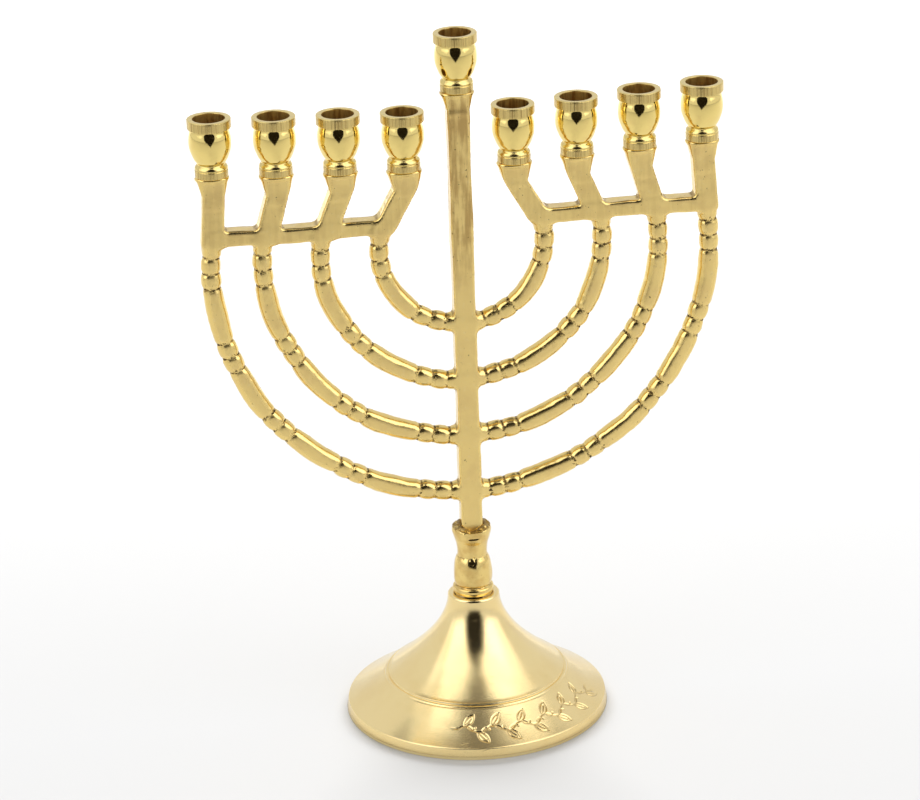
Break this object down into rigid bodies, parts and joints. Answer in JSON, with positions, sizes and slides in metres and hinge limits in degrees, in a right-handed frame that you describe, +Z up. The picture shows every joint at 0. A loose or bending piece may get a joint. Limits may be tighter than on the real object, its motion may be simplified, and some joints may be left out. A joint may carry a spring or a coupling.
{
  "type": "hanukkah menorah",
  "caption": "Brass menorah: cast branch frame with rounded arms and a raised centre cup, turned screw-on candle cups, turned baluster and hollow bell foot.",
  "frame": {"origin": "centre of the foot's underside, on the surface it stands on", "axes": "+Z up the post, +X along the row of cups to the right seen from the filed front face, -Y out of that front face"},
  "size_m": [0.1762, 0.0896, 0.24],
  "materials": {
    "cup_brass": "turned and polished",
    "stem_brass": "cast, turned and polished",
    "cast_brass": "cast, filed and buffed, satin with polished edges",
    "foot_brass": "spun and polished with fine turning lines",
    "stud_brass": "cut thread, dull",
    "fixing_steel": "zinc plated"
  },
  "bodies": {
    "foot": {"bell_foot": "foot_brass", "washer": "fixing_steel", "hex_nut": "fixing_steel"},
    "stem": {"stem_baluster": "stem_brass", "branch_frame": "cast_brass", "tie_stud": "fixing_steel"},
    "cup_1_thread": {"cup_stud_1": "stud_brass"},
    "cup_1_body": {"cup_1": "cup_brass"},
    "cup_2_thread": {"cup_stud_2": "stud_brass"},
    "cup_2_body": {"cup_2": "cup_brass"},
    "cup_3_thread": {"cup_stud_3": "stud_brass"},
    "cup_3_body": {"cup_3": "cup_brass"},
    "cup_4_thread": {"cup_stud_4": "stud_brass"},
    "cup_4_body": {"cup_4": "cup_brass"},
    "shamash_thread": {"shamash_stud": "stud_brass"},
    "shamash_body": {"shamash_cup": "cup_brass"},
    "cup_5_thread": {"cup_stud_5": "stud_brass"},
    "cup_5_body": {"cup_5": "cup_brass"},
    "cup_6_thread": {"cup_stud_6": "stud_brass"},
    "cup_6_body": {"cup_6": "cup_brass"},
    "cup_7_thread": {"cup_stud_7": "stud_brass"},
    "cup_7_body": {"cup_7": "cup_brass"},
    "cup_8_thread": {"cup_stud_8": "stud_brass"},
    "cup_8_body": {"cup_8": "cup_brass"}
  },
  "joints": [
    {"name": "stem_turn", "type": "hinge", "parent": "foot", "child": "stem", "pos_m": [0, 0, 0.042], "axis": [0, 0, 1], "continuous": true},
    {"name": "cup_1_rise", "type": "slide", "parent": "stem", "child": "cup_1_thread", "axis": [0, 0, 1], "range_m": [0, 0.0035]},
    {"name": "cup_1_turn", "type": "hinge", "parent": "cup_1_thread", "child": "cup_1_body", "pos_m": [-0.0809, 0, 0.19775], "axis": [0, 0, 1], "range_deg": [0, 1800]},
    {"name": "cup_2_rise", "type": "slide", "parent": "stem", "child": "cup_2_thread", "axis": [0, 0, 1], "range_m": [0, 0.0035]},
    {"name": "cup_2_turn", "type": "hinge", "parent": "cup_2_thread", "child": "cup_2_body", "pos_m": [-0.06, 0, 0.19685], "axis": [0, 0, 1], "range_deg": [0, 1800]},
    {"name": "cup_3_rise", "type": "slide", "parent": "stem", "child": "cup_3_thread", "axis": [0, 0, 1], "range_m": [0, 0.0035]},
    {"name": "cup_3_turn", "type": "hinge", "parent": "cup_3_thread", "child": "cup_3_body", "pos_m": [-0.0391, 0, 0.19595], "axis": [0, 0, 1], "range_deg": [0, 1800]},
    {"name": "cup_4_rise", "type": "slide", "parent": "stem", "child": "cup_4_thread", "axis": [0, 0, 1], "range_m": [0, 0.0035]},
    {"name": "cup_4_turn", "type": "hinge", "parent": "cup_4_thread", "child": "cup_4_body", "pos_m": [-0.0182, 0, 0.19505], "axis": [0, 0, 1], "range_deg": [0, 1800]},
    {"name": "shamash_rise", "type": "slide", "parent": "stem", "child": "shamash_thread", "axis": [0, 0, 1], "range_m": [0, 0.0035]},
    {"name": "shamash_turn", "type": "hinge", "parent": "shamash_thread", "child": "shamash_body", "pos_m": [0, 0, 0.2205], "axis": [0, 0, 1], "range_deg": [0, 1800]},
    {"name": "cup_5_rise", "type": "slide", "parent": "stem", "child": "cup_5_thread", "axis": [0, 0, 1], "range_m": [0, 0.0035]},
    {"name": "cup_5_turn", "type": "hinge", "parent": "cup_5_thread", "child": "cup_5_body", "pos_m": [0.0182, 0, 0.19505], "axis": [0, 0, 1], "range_deg": [0, 1800]},
    {"name": "cup_6_rise", "type": "slide", "parent": "stem", "child": "cup_6_thread", "axis": [0, 0, 1], "range_m": [0, 0.0035]},
    {"name": "cup_6_turn", "type": "hinge", "parent": "cup_6_thread", "child": "cup_6_body", "pos_m": [0.0391, 0, 0.19595], "axis": [0, 0, 1], "range_deg": [0, 1800]},
    {"name": "cup_7_rise", "type": "slide", "parent": "stem", "child": "cup_7_thread", "axis": [0, 0, 1], "range_m": [0, 0.0035]},
    {"name": "cup_7_turn", "type": "hinge", "parent": "cup_7_thread", "child": "cup_7_body", "pos_m": [0.06, 0, 0.19685], "axis": [0, 0, 1], "range_deg": [0, 1800]},
    {"name": "cup_8_rise", "type": "slide", "parent": "stem", "child": "cup_8_thread", "axis": [0, 0, 1], "range_m": [0, 0.0035]},
    {"name": "cup_8_turn", "type": "hinge", "parent": "cup_8_thread", "child": "cup_8_body", "pos_m": [0.0809, 0, 0.19775], "axis": [0, 0, 1], "range_deg": [0, 1800]}
  ],
  "couplings": [
    {"joint": "cup_1_rise", "follows": "cup_1_turn", "m_per_rad": 0.00011141},
    {"joint": "cup_2_rise", "follows": "cup_2_turn", "m_per_rad": 0.00011141},
    {"joint": "cup_3_rise", "follows": "cup_3_turn", "m_per_rad": 0.00011141},
    {"joint": "cup_4_rise", "follows": "cup_4_turn", "m_per_rad": 0.00011141},
    {"joint": "shamash_rise", "follows": "shamash_turn", "m_per_rad": 0.00011141},
    {"joint": "cup_5_rise", "follows": "cup_5_turn", "m_per_rad": 0.00011141},
    {"joint": "cup_6_rise", "follows": "cup_6_turn", "m_per_rad": 0.00011141},
    {"joint": "cup_7_rise", "follows": "cup_7_turn", "m_per_rad": 0.00011141},
    {"joint": "cup_8_rise", "follows": "cup_8_turn", "m_per_rad": 0.00011141}
  ]
}
